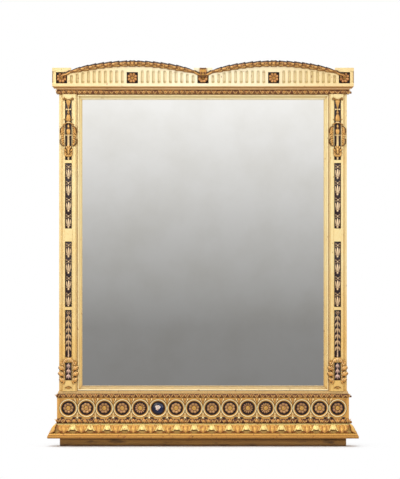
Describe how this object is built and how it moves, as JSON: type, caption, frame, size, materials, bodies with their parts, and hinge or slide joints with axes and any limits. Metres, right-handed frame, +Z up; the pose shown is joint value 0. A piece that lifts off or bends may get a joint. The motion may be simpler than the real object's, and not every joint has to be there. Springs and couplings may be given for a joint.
{
  "type": "overmantel mirror",
  "caption": "Tall giltwood overmantel mirror: fluted arched crest with laurel garlands, panelled pilasters, roundel frieze, rope and leaf mouldings on a plinth, hanger rings at the back.",
  "frame": {"origin": "middle of the bounding box's underside, on the shelf that the plinth stands on", "axes": "+Z up, +X to the viewer's right, +Y towards the wall; the glass faces -Y"},
  "size_m": [1.556, 0.13, 1.9285],
  "materials": {
    "gilt_wood": "water-gilded gesso on wood, warm gold, worn on high points",
    "pale_gilt_wood": "water-gilded gesso on wood, pale gold, lightly burnished",
    "dark_gilt_wood": "old gilding over red-brown bole, dark in its hollows",
    "painted_wood": "brown paint, matt and rubbed",
    "pine": "unfinished old pine, oxidised",
    "mirror_plate": "silvered plate glass",
    "steel": "aged plain steel",
    "blue_glass": "dark blue glass with a patch of old gesso"
  },
  "bodies": {
    "frame": {"plinth": "painted_wood", "bottom_rail": "pine", "top_rail": "pine", "stile_left": "gilt_wood", "stile_right": "gilt_wood", "mirror_glass": "mirror_plate", "backboard_left": "pine", "backboard_middle": "pine", "backboard_right": "pine", "batten_bottom": "pine", "batten_middle": "pine", "batten_top": "pine", "sight_bottom": "pale_gilt_wood", "sight_top": "pale_gilt_wood", "sight_left": "pale_gilt_wood", "sight_right": "pale_gilt_wood", "base_moulding": "gilt_wood", "rope_lower": "dark_gilt_wood", "rope_upper": "dark_gilt_wood", "frieze_board": "gilt_wood", "roundel_01_rosette": "gilt_wood", "roundel_02_rosette": "gilt_wood", "roundel_03_rosette": "gilt_wood", "roundel_04_rosette": "gilt_wood", "roundel_05_rosette": "gilt_wood", "roundel_06_glass": "blue_glass", "roundel_07_rosette": "gilt_wood", "roundel_08_rosette": "gilt_wood", "roundel_09_rosette": "gilt_wood", "roundel_10_rosette": "gilt_wood", "roundel_11_rosette": "gilt_wood", "roundel_12_rosette": "gilt_wood", "roundel_13_rosette": "gilt_wood", "roundel_14_rosette": "gilt_wood", "roundel_15_rosette": "gilt_wood", "roundel_16_rosette": "gilt_wood", "pilaster_left": "pale_gilt_wood", "pilaster_right": "pale_gilt_wood", "capital_carving_left": "gilt_wood", "capital_carving_right": "gilt_wood", "foot_carving_left": "gilt_wood", "foot_carving_right": "gilt_wood", "rope_crest": "dark_gilt_wood", "cornice": "gilt_wood", "crest_board": "pale_gilt_wood", "garland_left": "dark_gilt_wood", "garland_right": "dark_gilt_wood", "crest_rosette_1": "gilt_wood", "crest_rosette_2": "gilt_wood", "crest_rosette_3": "gilt_wood", "crest_rosette_4": "gilt_wood", "crest_rosette_5": "gilt_wood", "hanger_strap_left": "steel", "hanger_strap_right": "steel", "hanger_screw_left_1": "steel", "hanger_screw_left_2": "steel", "hanger_screw_right_1": "steel", "hanger_screw_right_2": "steel"},
    "ring_left": {"hanger_ring_left": "steel"},
    "ring_right": {"hanger_ring_right": "steel"}
  },
  "joints": [
    {"name": "hanger_left_swing", "type": "hinge", "parent": "frame", "child": "ring_left", "pos_m": [-0.676, 0.048, 1.56], "axis": [1, 0, 0], "range_deg": [0, 180]},
    {"name": "hanger_right_swing", "type": "hinge", "parent": "frame", "child": "ring_right", "pos_m": [0.676, 0.048, 1.56], "axis": [1, 0, 0], "range_deg": [0, 180]}
  ]
}
